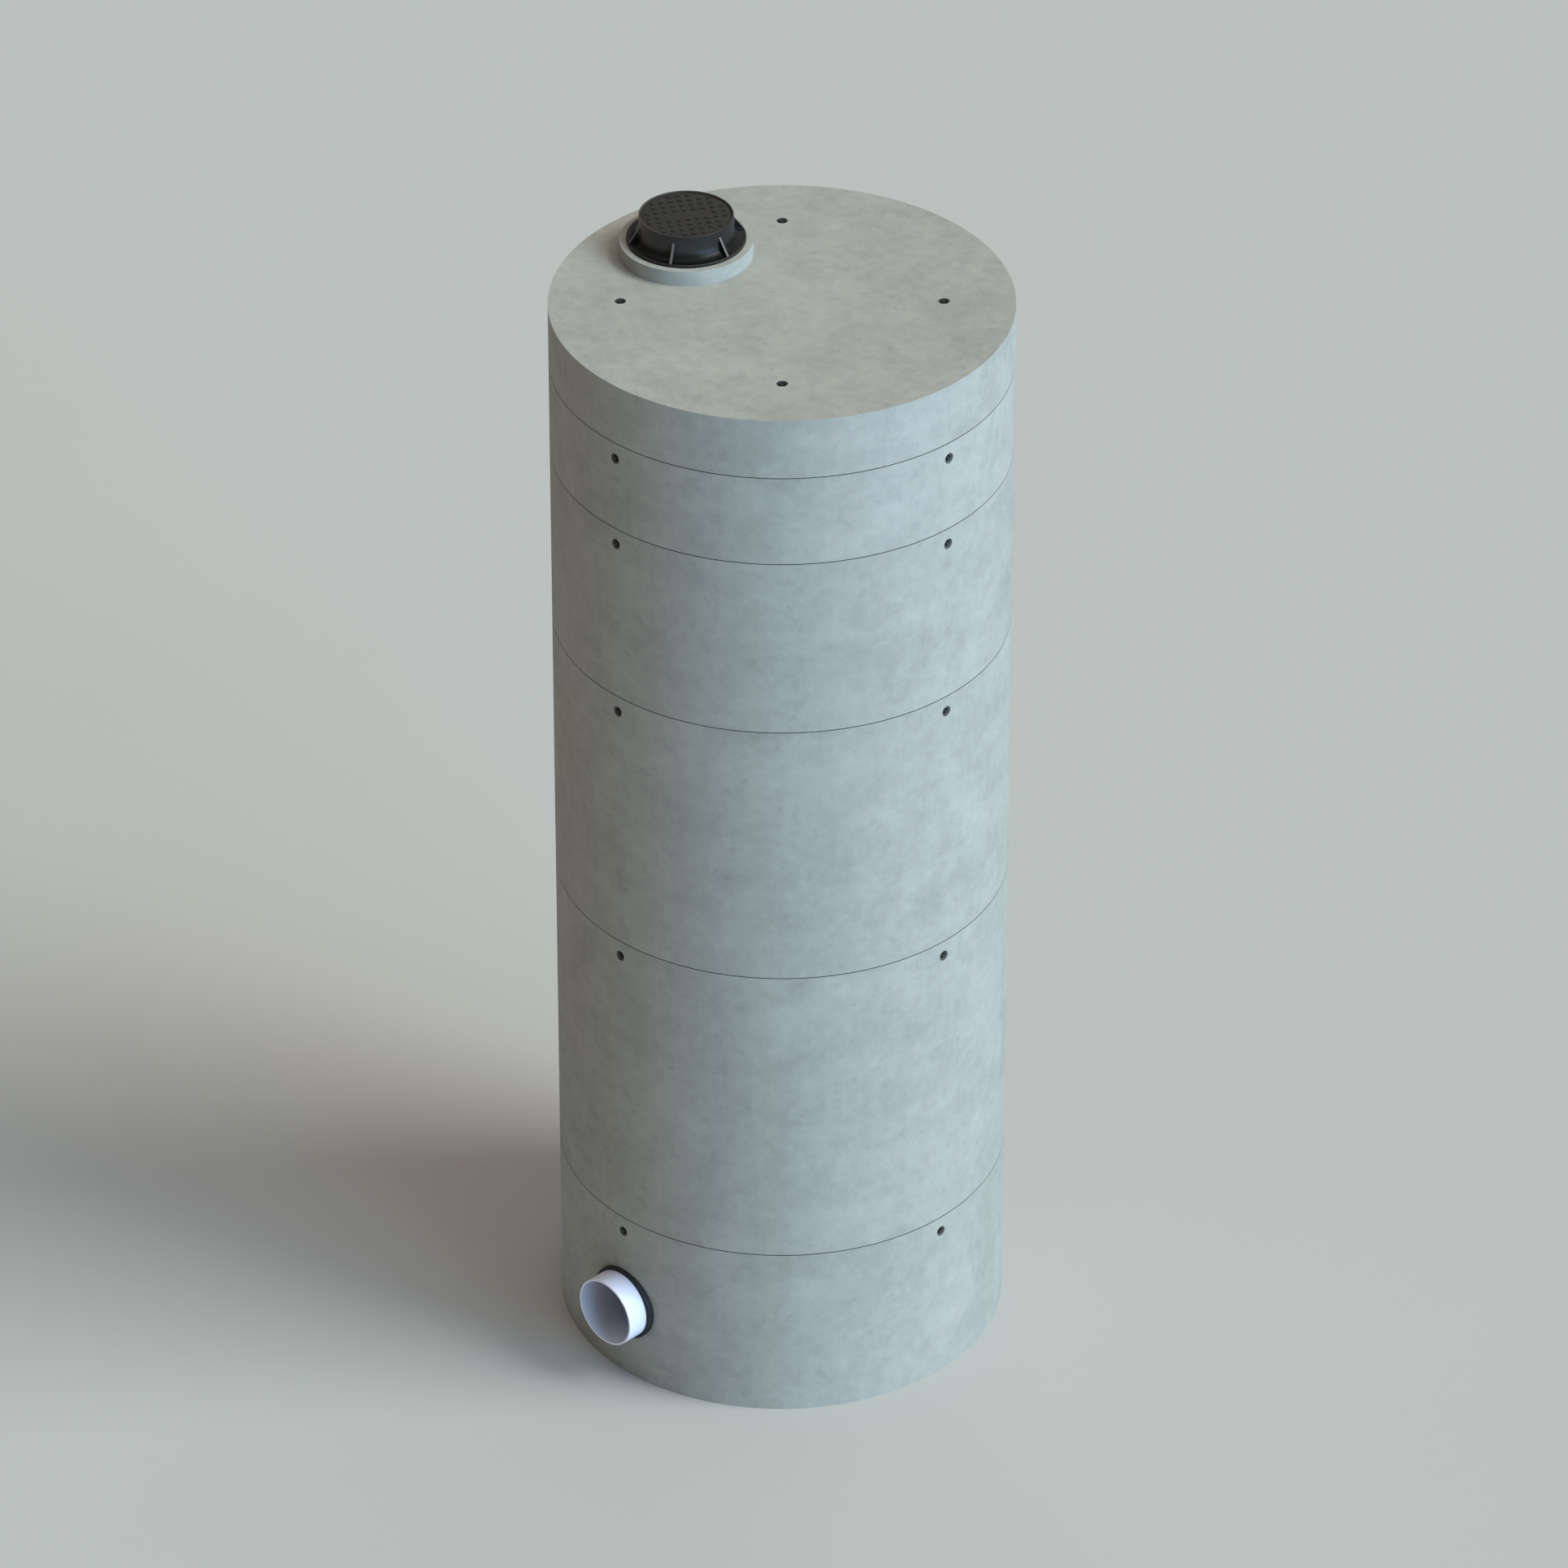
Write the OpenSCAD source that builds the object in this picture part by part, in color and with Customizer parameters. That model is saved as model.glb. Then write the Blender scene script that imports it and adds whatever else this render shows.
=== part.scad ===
// Precast concrete manhole: a base with its floor and outlet pipe, four riser rings, a flat top
// slab, a grade ring, and a cast-iron frame with its cover. Every piece is stacked on the one
// below it. Origin: on the chamber's axis, at the underside of the base, where it meets the
// ground. +Z is up, the pipe leaves along -Y, and the access opening lies towards -X.

/* [Chamber] */
// Inside diameter of the base and the rings
bore_d = 2438; // [2200:1:2800]
// Thickness of the base's and the rings' walls
wall = 229; // [200:1:300]
// Thickness of the base's floor
floor_t = 254; // [150:1:300]

/* [Section heights, measured on the outside] */
// Height of the base
base_h = 1219; // [1000:1:2000]
// Height of the first ring above the base
riser_1_h = 2134; // [600:1:2400]
// Height of the second ring
riser_2_h = 1829; // [600:1:2400]
// Height of the third ring
riser_3_h = 1219; // [600:1:2400]
// Height of the fourth ring, under the slab
riser_4_h = 610; // [400:1:2400]
// Thickness of the top slab
slab_t = 406; // [300:1:600]

/* [Tongue and groove joints] */
// Height of the tongue above the outer shoulder
tongue_h = 100; // [60:1:120]
// Width of the tongue at its root, from the chamber's bore outwards
tongue_w = 108; // [80:1:130]
// How much narrower the tongue is at its tip
tongue_taper = 8; // [0:1:20]
// Radial clearance between a tongue and the groove over it
joint_clear = 5; // [2:0.5:12]
// Open gap between the outer shoulders of two sections
seam_gap = 4; // [1:0.5:10]
// Chamfer on the edges that meet on the inside of a joint
joint_chamfer = 8; // [2:1:15]

/* [Access opening] */
// Distance from the chamber's axis to the access opening's axis
access_x = 842; // [700:1:860]
// Diameter of the opening through the slab and the grade ring
access_d = 610; // [560:1:640]
// Outside diameter of the grade ring
grade_d = 838; // [800:1:900]
// Height of the grade ring
grade_h = 102; // [50:1:300]

/* [Cover frame] */
// Height of the frame, from the underside of its flange to its rim
frame_h = 175; // [165:1:250]
// Outside diameter of the flange
flange_d = 749; // [735:1:780]
// Thickness of the flange at its edge
flange_t = 20; // [14:1:30]
// Outside diameter of the drum
drum_d = 594; // [585:1:600]
// Thickness of the drum's wall
drum_wall = 14; // [10:1:18]
// Radius of the cove between the drum and the flange
cove_r = 68; // [30:1:72]
// Width of the seat that the cover rests on
seat_w = 25; // [18:1:35]
// Thickness of the seat at its inner edge
seat_t = 20; // [12:1:30]
// Rounding of the rim's edges
rim_round = 3; // [1:0.5:5]
// Number of gussets round the drum
gusset_count = 6; // [3:1:8]
// Thickness of a gusset
gusset_t = 12; // [8:1:20]
// Distance from the rim down to the top of a gusset
gusset_drop = 48; // [30:1:70]
// Distance from the flange's edge in to the foot of a gusset
gusset_setback = 4; // [2:1:20]

/* [Cover] */
// Gap between the cover's edge and the frame's rim
cover_gap = 2; // [2:0.5:10]
// Thickness of the cover's edge
cover_edge_t = 38; // [30:1:50]
// Thickness of the cover's plate inside its edge
cover_plate_t = 20; // [14:1:26]
// Width of the edge ring under the plate
cover_edge_w = 34; // [20:1:40]
// Depth of the cover's face below the frame's rim
cover_sink = 6; // [5:1:12]
// Distance between the tread bars, both ways
tread_pitch = 60; // [50:1:80]
// Length of a tread bar
tread_len = 30; // [20:1:40]
// Width of a tread bar
tread_w = 16; // [10:1:30]
// Height of a tread bar
tread_h = 5; // [2:0.5:5]
// Plain margin between the tread bars and the cover's edge
tread_margin = 4; // [2:1:30]
// Length of the plain panel in the middle row
panel_len = 290; // [100:10:400]
// Angle of the tread rows, from +X
tread_angle = 57.8; // [0:0.1:90]
// Number of ribs under the plate
rib_count = 8; // [4:1:12]
// Thickness of a rib
rib_t = 14; // [8:1:20]
// Depth of a rib below the plate
rib_h = 34; // [20:1:50]
// Radius of the boss where the ribs meet
rib_boss_r = 40; // [30:1:60]
// Clearance between the ribs' ends and the frame's seat
rib_clear = 8; // [4:1:20]

/* [Outlet pipe] */
// Outside diameter of the pipe
pipe_d = 467; // [300:1:500]
// Wall thickness of the pipe
pipe_wall = 12.7; // [8:0.1:20]
// Height of the pipe's axis above the underside of the base
pipe_z = 551; // [520:1:620]
// Length of the pipe outside the wall, along its top
pipe_out = 172; // [80:1:400]
// Length of the pipe inside the chamber, past the wall
pipe_in = 50; // [10:1:150]
// Thickness of the rubber boot round the pipe
boot_t = 22; // [12:1:40]
// Length of the boot outside the wall
boot_out = 25; // [10:1:60]
// Depth of the boot's inner end inside the hole through the wall
boot_inset = 4; // [0:1:60]
// Rounding of the boot's outer lip
boot_round = 14; // [4:1:20]

/* [Lifting anchors] */
// Diameter of a lifting recess at the surface
recess_d = 76; // [72:1:100]
// Depth of the bowl that opens a recess to the surface, a shallow cap of a ball
bowl_depth = 14; // [10:1:20]
// Diameter of the socket below the bowl, round the anchor's head
socket_d = 40; // [34:1:50]
// Depth of a recess, down to the socket's floor
recess_depth = 38; // [30:1:50]
// Diameter of an anchor's head
head_d = 24; // [18:1:30]
// Thickness of an anchor's head
head_t = 9; // [6:1:12]
// Depth of the head's top below the surface
head_depth = 7; // [5:1:10]
// Diameter of an anchor's shank
shank_d = 14; // [10:1:18]
// Length of an anchor from its head to its foot
anchor_len = 140; // [110:1:160]
// Diameter of an anchor's foot
foot_d = 36; // [24:1:44]
// Thickness of an anchor's foot
foot_t = 12; // [8:1:20]
// Distance from the top of a section down to its recesses
recess_drop = 110; // [90:1:200]
// Distance from the chamber's axis to the slab's recesses
slab_recess_r = 1000; // [980:1:1080]

/* [Hidden] */
$fn = 96;

// What a cutter runs past the face it cuts
over = 10;

// Chamber
bore_r = bore_d / 2;
outer_r = bore_r + wall;

// Height of each section's underside: its shoulder stands a seam's gap above the one below
riser_1_z = base_h + seam_gap;
riser_2_z = riser_1_z + riser_1_h + seam_gap;
riser_3_z = riser_2_z + riser_2_h + seam_gap;
riser_4_z = riser_3_z + riser_3_h + seam_gap;
slab_z = riser_4_z + riser_4_h + seam_gap;
slab_top_z = slab_z + slab_t;

// The groove is a seam's gap shallower than the tongue, so its roof rests on the tongue's tip
groove_depth = tongue_h - seam_gap;
// Outer radius of the tongue at a height above the shoulder
function tongue_r(height) = bore_r + tongue_w - tongue_taper * height / tongue_h;
groove_mouth_r = tongue_r(seam_gap) + joint_clear;
groove_roof_r = tongue_r(tongue_h) + joint_clear;

// Frame and cover, measured from the underside of the frame's flange
access_r = access_d / 2;
frame_z = slab_top_z + grade_h;
flange_r = flange_d / 2;
drum_r = drum_d / 2;
pocket_r = drum_r - drum_wall;
seat_r = pocket_r - seat_w;
cover_r = pocket_r - cover_gap;
cover_face_z = frame_h - cover_sink;
seat_z = cover_face_z - cover_edge_t;
cover_plate_z = cover_face_z - cover_plate_t;
cover_edge_r = cover_r - cover_edge_w;
tread_reach = ceil(cover_r / tread_pitch);

// Pipe and boot, along an axis that starts at the chamber's axis and runs outwards
pipe_r = pipe_d / 2;
boot_r = pipe_r + boot_t;

// ---- Shapes that repeat ----

// What lies between a square corner at the origin and the arc that touches both its sides. Added
// to an inside corner it makes a cove, and cut from an outside corner it leaves a rounding.
module corner_piece(radius) {
    difference() {
        square(radius);
        translate([radius, radius])
            circle(radius);
    }
}

// The tongue on top of a section whose shoulder is at this height: points from the outside in
function tongue_points(shoulder) = [
    [outer_r, shoulder],
    [tongue_r(0), shoulder],
    [tongue_r(tongue_h), shoulder + tongue_h],
    [bore_r + joint_chamfer, shoulder + tongue_h],
    [bore_r, shoulder + tongue_h - joint_chamfer]
];

// The recess over an anchor, with its mouth at z = 0: a bowl, and a socket in the bowl's floor
module recess_cutter() {
    mouth_r = recess_d / 2;
    ball_r = (mouth_r * mouth_r + bowl_depth * bowl_depth) / (2 * bowl_depth);
    rotate_extrude()
        intersection() {
            union() {
                translate([0, ball_r - bowl_depth])
                    circle(ball_r);
                square([mouth_r, over]);
            }
            translate([0, -bowl_depth - over])
                square([mouth_r, bowl_depth + 2 * over]);
        }
    translate([0, 0, -recess_depth])
        cylinder(h = recess_depth, d = socket_d);
}

// A forged lifting anchor: round head, shank and foot, standing on its foot below z = 0
module anchor() {
    head_r = head_d / 2;
    shank_r = shank_d / 2;
    foot_r = foot_d / 2;
    crown = head_t / 4;
    foot_z = -head_depth - anchor_len;
    rotate_extrude()
        polygon([
            [0, -head_depth],
            [head_r - crown, -head_depth],
            [head_r, -head_depth - crown],
            [head_r, -head_depth - head_t],
            [shank_r, -head_depth - head_t - head_r + shank_r],
            [shank_r, foot_z + foot_t + foot_r - shank_r],
            [foot_r, foot_z + foot_t],
            [foot_r, foot_z],
            [0, foot_z]
        ]);
}

// What the concrete leaves free for an anchor: its recess, and the space that the anchor fills
module anchor_void() {
    recess_cutter();
    anchor();
}

// Puts what follows on the outside of a section, square to its wall, on all four sides
module on_four_sides(section_z, section_h) {
    for (azimuth = [0 : 90 : 270])
        rotate([0, 0, azimuth])
            translate([outer_r, 0, section_z + section_h - recess_drop])
                rotate([0, 90, 0])
                    children();
}

// Puts what follows on the slab's top, at its four diagonal points
module on_slab() {
    for (azimuth = [45 : 90 : 315])
        rotate([0, 0, azimuth])
            translate([slab_recess_r, 0, slab_top_z])
                children();
}

// A riser ring: groove below, tongue on top, and four lifting recesses
module riser(section_z, section_h) {
    difference() {
        translate([0, 0, section_z])
            rotate_extrude()
                polygon(concat(
                    [[outer_r, 0]],
                    tongue_points(section_h),
                    [
                        [bore_r, groove_depth + joint_chamfer],
                        [bore_r + joint_chamfer, groove_depth],
                        [groove_roof_r, groove_depth],
                        [groove_mouth_r, 0]
                    ]
                ));
        on_four_sides(section_z, section_h)
            anchor_void();
    }
}

// Puts what follows on the axis of the access opening
module at_access(height) {
    translate([-access_x, 0, height])
        children();
}

// Lays what follows along the outlet pipe, with its +Z pointing out of the wall
module along_pipe() {
    translate([0, 0, pipe_z])
        rotate([90, 0, 0])
            children();
}

// ---- Concrete sections ----

// The base: wall and floor cast as one, a tongue on top, and the hole for the pipe's boot
module base() {
    color("darkgray")
        difference() {
            rotate_extrude()
                polygon(concat(
                    [[0, 0], [outer_r, 0]],
                    tongue_points(base_h),
                    [[bore_r, floor_t], [0, floor_t]]
                ));
            along_pipe()
                cylinder(r = boot_r, h = outer_r + over);
            on_four_sides(0, base_h)
                anchor_void();
        }
}

module riser_1() {
    color("darkgray")
        riser(riser_1_z, riser_1_h);
}

module riser_2() {
    color("darkgray")
        riser(riser_2_z, riser_2_h);
}

module riser_3() {
    color("darkgray")
        riser(riser_3_z, riser_3_h);
}

module riser_4() {
    color("darkgray")
        riser(riser_4_z, riser_4_h);
}

// The flat top slab: a groove in its underside for the last ring's tongue, the access opening
// off to one side, and four lifting recesses in its top
module top_slab() {
    color("darkgray")
        difference() {
            translate([0, 0, slab_z])
                cylinder(r = outer_r, h = slab_t);
            translate([0, 0, slab_z])
                rotate_extrude()
                    polygon([
                        [bore_r - joint_clear, -over],
                        [groove_mouth_r, -over],
                        [groove_mouth_r, 0],
                        [groove_roof_r, groove_depth],
                        [bore_r - joint_clear, groove_depth]
                    ]);
            at_access(slab_z - over)
                cylinder(r = access_r, h = slab_t + 2 * over);
            on_slab()
                anchor_void();
        }
}

// The grade ring that brings the frame up to street level
module grade_ring() {
    color("darkgray")
        at_access(slab_top_z)
            difference() {
                cylinder(r = grade_d / 2, h = grade_h);
                translate([0, 0, -over])
                    cylinder(r = access_r, h = grade_h + 2 * over);
            }
}

// ---- Cast-iron frame and cover ----

// The frame's outside: flange, cove, drum and rounded rim, as a solid of revolution
module frame_outside() {
    rotate_extrude()
        difference() {
            union() {
                square([flange_r, flange_t]);
                square([drum_r, frame_h]);
                translate([drum_r, flange_t])
                    corner_piece(cove_r);
            }
            translate([drum_r, frame_h])
                rotate(180)
                    corner_piece(rim_round);
        }
}

// The frame's inside: the way in, flaring down to the grade ring's opening, the seat, and the
// pocket for the cover
module frame_inside() {
    neck_z = seat_z - seat_t - seat_w + drum_wall;
    rotate_extrude()
        polygon([
            [0, -over],
            [access_r, -over],
            [access_r, 0],
            [pocket_r, flange_t + cove_r / 2],
            [pocket_r, neck_z],
            [seat_r, seat_z - seat_t],
            [seat_r, seat_z],
            [pocket_r, seat_z],
            [pocket_r, frame_h - rim_round],
            [pocket_r + rim_round / 2, frame_h],
            [pocket_r + rim_round / 2, frame_h + over],
            [0, frame_h + over]
        ]);
}

// A gusset: an upright web from the drum out to the flange's edge, with a straight sloping top
module gusset() {
    foot_r = flange_r - gusset_setback;
    rotate([90, 0, 0])
        linear_extrude(gusset_t, center = true)
            polygon([
                [seat_r, 0],
                [foot_r, 0],
                [foot_r, flange_t],
                [drum_r, frame_h - gusset_drop],
                [seat_r, frame_h - gusset_drop]
            ]);
}

module cover_frame() {
    color("dimgray")
        at_access(frame_z)
            difference() {
                union() {
                    frame_outside();
                    for (i = [0 : gusset_count - 1])
                        rotate([0, 0, i * 360 / gusset_count])
                            gusset();
                }
                frame_inside();
            }
}

// Tread bars on a square grid, left out of the plain panel and kept inside the cover's edge
module tread_bars() {
    reach = cover_r - tread_margin;
    for (i = [-tread_reach : tread_reach], j = [-tread_reach : tread_reach]) {
        x = i * tread_pitch;
        y = j * tread_pitch;
        corner = norm([abs(x) + tread_len / 2, abs(y) + tread_w / 2]);
        in_panel = j == 0 && abs(x) < panel_len / 2;
        if (corner < reach && !in_panel)
            translate([x - tread_len / 2, y - tread_w / 2, 0])
                cube([tread_len, tread_w, tread_h]);
    }
}

// Ribs under the plate, from a middle boss out to just inside the frame's seat
module cover_ribs() {
    rib_end = seat_r - rib_clear;
    cylinder(r = rib_boss_r, h = rib_h);
    for (i = [0 : rib_count - 1])
        rotate([0, 0, i * 360 / rib_count])
            translate([0, -rib_t / 2, 0])
                cube([rib_end, rib_t, rib_h]);
}

// The cover: a plate in an edge ring that rests on the frame's seat, with ribs below it
module cover() {
    color("dimgray")
        at_access(frame_z)
            union() {
                rotate_extrude()
                    polygon([
                        [0, cover_plate_z],
                        [cover_edge_r, cover_plate_z],
                        [cover_edge_r, seat_z],
                        [cover_r, seat_z],
                        [cover_r, cover_face_z],
                        [0, cover_face_z]
                    ]);
                translate([0, 0, cover_plate_z - rib_h])
                    cover_ribs();
                translate([0, 0, cover_face_z])
                    rotate([0, 0, tread_angle])
                        tread_bars();
            }
}

// ---- Outlet ----

// A length of plastic pipe through the wall, cut square at both ends
module outlet_pipe() {
    inner_end = bore_r - pipe_in;
    length = outer_r + pipe_out - inner_end;
    color("white")
        along_pipe()
            translate([0, 0, inner_end])
                difference() {
                    cylinder(r = pipe_r, h = length);
                    translate([0, 0, -over])
                        cylinder(r = pipe_r - pipe_wall, h = length + 2 * over);
                }
}

// The rubber boot between the pipe and the hole in the wall, with a rounded lip outside
module pipe_boot() {
    inner_end = bore_r + boot_inset;
    outer_end = outer_r + boot_out;
    color([0.15, 0.16, 0.17])
        along_pipe()
            rotate_extrude()
                difference() {
                    translate([pipe_r, inner_end])
                        square([boot_t, outer_end - inner_end]);
                    translate([boot_r, outer_end])
                        rotate(180)
                            corner_piece(boot_round);
                }
}

// ---- Lifting anchors, cast into each section ----

module base_anchors() {
    color("silver")
        on_four_sides(0, base_h)
            anchor();
}

module riser_1_anchors() {
    color("silver")
        on_four_sides(riser_1_z, riser_1_h)
            anchor();
}

module riser_2_anchors() {
    color("silver")
        on_four_sides(riser_2_z, riser_2_h)
            anchor();
}

module riser_3_anchors() {
    color("silver")
        on_four_sides(riser_3_z, riser_3_h)
            anchor();
}

module riser_4_anchors() {
    color("silver")
        on_four_sides(riser_4_z, riser_4_h)
            anchor();
}

module slab_anchors() {
    color("silver")
        on_slab()
            anchor();
}

base();
riser_1();
riser_2();
riser_3();
riser_4();
top_slab();
grade_ring();
cover_frame();
cover();
outlet_pipe();
pipe_boot();
base_anchors();
riser_1_anchors();
riser_2_anchors();
riser_3_anchors();
riser_4_anchors();
slab_anchors();
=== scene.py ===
# %% [markdown]
# # Dressing a precast concrete manhole
#
# The manhole is a stack of concrete sections that were cast in steel moulds and lowered into a
# pit one on the other: a base with its floor, four rings and a flat top slab. On the slab stand
# a grade ring and a cast-iron frame with its cover, off to one side, and a plastic pipe leaves
# the base through a rubber boot. Each section can be lifted by the anchors in its recesses.
#
# The solids come ready made, in metres, with +Z up. They could be modelled again here, but a
# change of size would then have to be made twice, so the lesson starts by loading them, and
# adds what solids don't have: finishes, softened castings, light and a camera.

# %% Load the solids
import math

import bpy
import numpy as np
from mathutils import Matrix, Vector


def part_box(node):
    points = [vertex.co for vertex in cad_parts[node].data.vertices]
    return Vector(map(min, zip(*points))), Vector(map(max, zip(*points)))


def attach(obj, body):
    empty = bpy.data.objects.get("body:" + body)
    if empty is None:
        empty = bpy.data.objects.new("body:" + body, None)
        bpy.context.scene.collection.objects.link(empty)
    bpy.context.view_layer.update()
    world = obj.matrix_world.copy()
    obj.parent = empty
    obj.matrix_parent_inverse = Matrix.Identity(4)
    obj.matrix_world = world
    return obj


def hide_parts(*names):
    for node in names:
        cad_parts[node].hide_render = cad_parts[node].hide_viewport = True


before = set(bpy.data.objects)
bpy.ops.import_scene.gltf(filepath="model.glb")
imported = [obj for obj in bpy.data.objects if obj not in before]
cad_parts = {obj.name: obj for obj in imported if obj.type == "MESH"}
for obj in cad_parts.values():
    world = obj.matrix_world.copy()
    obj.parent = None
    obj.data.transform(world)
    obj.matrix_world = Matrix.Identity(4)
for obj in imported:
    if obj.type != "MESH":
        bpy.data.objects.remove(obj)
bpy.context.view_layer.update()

print("solids:", sorted(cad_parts))

# %% [markdown]
# ## A way to write finishes as sums
#
# A finish is a graph of nodes. Wiring each one by hand hides the idea behind the wires, so two
# small classes let the maths be written as maths. The first, `Field`, is a number that varies
# over the surface: adding or multiplying Fields adds Math nodes.

# %% A number that varies over a surface
class Field:
    """A value that varies over a surface: one output socket, with + - * that add Math nodes."""

    def __init__(self, finish, socket):
        self.finish, self.socket = finish, socket

    def sum_of(self, operation, first, second):
        """The Field that one Math node makes of two values, in the order given."""
        return self.finish.math(operation, first, second)

    def __add__(self, other):
        return self.sum_of("ADD", self, other)

    def __radd__(self, other):
        return self.sum_of("ADD", other, self)

    def __sub__(self, other):
        return self.sum_of("SUBTRACT", self, other)

    def __rsub__(self, other):
        return self.sum_of("SUBTRACT", other, self)

    def __mul__(self, other):
        return self.sum_of("MULTIPLY", self, other)

    def __rmul__(self, other):
        return self.sum_of("MULTIPLY", other, self)


print("Field ready: + - * each add one Math node")

# %% [markdown]
# The second, `Graph`, is one material and its nodes. Its `node` method adds any other kind of
# node, with its settings first and then its sockets. It starts with the place on the object, in
# metres, because a size in the code is then a size on the real thing. A picture's own
# coordinates would need unwrapping first, and would stretch.

# %% A material and its nodes
class Graph:
    """A material with one Principled shader, and one method that adds any node to it."""

    def __init__(self, name, **constants):
        self.material = bpy.data.materials.new(name)
        self.material.use_nodes = True
        self.nodes, self.links = self.material.node_tree.nodes, self.material.node_tree.links
        self.nodes.clear()
        shader = self.nodes.new("ShaderNodeBsdfPrincipled")
        output = self.nodes.new("ShaderNodeOutputMaterial")
        self.links.new(shader.outputs[0], output.inputs[0])
        self.sockets = shader.inputs
        for socket, value in constants.items():
            self.sockets[socket.replace("_", " ")].default_value = value
        self.place = self.node("ShaderNodeTexCoord", output="Object")

    def node(self, kind, settings=None, inputs=None, output=0):
        """Adds a node, makes its settings, then fills its sockets with values or Fields."""
        made = self.nodes.new(kind)
        for setting, value in (settings or {}).items():
            setattr(made, setting, value)
        for socket, value in (inputs or {}).items():
            self.fill(made.inputs[socket], value)
        return Field(self, made.outputs[output])

    def math(self, operation, first, second=0.0):
        """Any Math node, for the functions that + - * don't cover."""
        return self.node("ShaderNodeMath", {"operation": operation}, {0: first, 1: second})

    def fill(self, socket, value):
        """Links a Field to a socket, or sets the socket to a number, a place or a colour."""
        if isinstance(value, Field):
            self.links.new(value.socket, socket)
        elif isinstance(value, (tuple, list)):
            socket.default_value = value[:len(socket.default_value)]
        else:
            socket.default_value = value

    def use(self, **fields):
        """Links Fields to the shader: use(Base_Color=..., Roughness=...)."""
        for socket, value in fields.items():
            self.fill(self.sockets[socket.replace("_", " ")], value)
        return self.material


print("Graph ready")

# %% [markdown]
# A `Finish` is such a material that also knows what several finishes share: where a point lies,
# clouds, spots, soft steps, mixtures of colour, and relief. Each is one or a few nodes with the
# sizes given in metres, so a finish reads as a list of what can be seen on the real surface.

# %% A finish, and the patterns that finishes share
class Finish(Graph):
    """A material with the patterns that cast, moulded and forged surfaces share."""

    def axes(self):
        """The place on the object as three Fields: x, y and z."""
        return tuple(self.node("ShaderNodeSeparateXYZ", None, {0: self.place}, k) for k in range(3))

    def length(self, a, b):
        """The length of the slanted side of a right triangle with the sides a and b."""
        return self.math("SQRT", a * a + b * b)

    def spread(self, stretch=(1, 1, 1), shift=(0, 0, 0)):
        """The place on the object, moved by shift and squeezed by stretch along each axis."""
        return self.node("ShaderNodeMapping", None, {
            "Vector": self.place, "Location": shift, "Scale": stretch})

    def cloud(self, size, place=None, detail=3.0, roughness=0.5, distortion=0.0):
        """Soft noise about 0.5 whose lumps are about size metres wide."""
        return self.node("ShaderNodeTexNoise", None, {
            "Vector": place or self.place, "Scale": 1 / size, "Detail": detail,
            "Roughness": roughness, "Distortion": distortion})

    def step(self, value, low, high, to_low=0.0, to_high=1.0):
        """Rises smoothly from to_low to to_high while value goes from low to high."""
        return self.node("ShaderNodeMapRange", {"interpolation_type": "SMOOTHSTEP"}, {
            "Value": value, "From Min": low, "From Max": high,
            "To Min": to_low, "To Max": to_high})

    def spots(self, pitch, radius, share, place=None):
        """Round spots: one cell in each pitch metres, of which a share holds a spot."""
        settings = {"feature": "F1"}
        sockets = {"Vector": place or self.place, "Scale": 1 / pitch}
        distance = self.node("ShaderNodeTexVoronoi", settings, sockets, "Distance")
        lot = self.node("ShaderNodeTexVoronoi", settings, sockets, "Color")
        drawn = self.node("ShaderNodeSeparateColor", None, {0: lot})
        reach = self.step(drawn, 1 - share, 1.0, 0.0, radius / pitch)
        return self.step(reach - distance, 0.0, 0.35 * radius / pitch)

    def tint(self, colour, factor, other):
        """Mixes colour towards other by factor."""
        return self.node("ShaderNodeMix", {"data_type": "RGBA"}, {
            0: factor, 6: colour, 7: other}, 2)

    def shade(self, colour, amount):
        """Multiplies a colour by a number that varies."""
        return self.node("ShaderNodeVectorMath", {"operation": "SCALE"}, {
            "Vector": colour, "Scale": amount})

    def bump(self, height, depth, normal=None):
        """Turns a height between 0 and 1 into relief that is depth metres deep."""
        sockets = {"Height": height, "Strength": 1.0, "Distance": depth}
        if normal:
            sockets["Normal"] = normal
        return self.node("ShaderNodeBump", None, sockets)


print("Finish ready")

# %% [markdown]
# ## Concrete from a steel mould
#
# Wet-cast concrete shows the mould's smooth skin. Its grey drifts by a few hundredths in clouds
# as wide as a hand or an arm, where the mix was wetter or the release oil thicker. The mix went
# in by lifts, which leaves faint level bands, and water ran up the mould and left faint upright
# streaks. Air bubbles leave small round blowholes, in clusters, and grains of sand show as pale
# and dark specks. A picture of concrete could be wrapped round each ring, but it would repeat
# and smear at the edges. Patterns in space go through every face of the solid alike.
#
# Shade and sealant come first. The bowls of the lifting recesses and the sockets behind them are
# painted darker as shade, and the seams are filled with black sealant. Both could be painted by
# hand on each solid, but a distance to the recess's axis, or a depth behind the wall's face, says
# where they lie with nothing drawn on the solids.

# %% Painted shade in the recesses, and sealant in the seams
# Painted shade: the bowls and sockets of the recesses are darkened in the concrete's colour.
BOWL_R, SOCKET_R, SOCKET_DEEP = 0.038, 0.020, 0.010
SLAB_BOWL_SHADE, WALL_BOWL_SHADE = 0.96, 0.84
SEALANT_IN, SMEAR_W, SMEAR = 0.002, 0.004, 0.42


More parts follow.
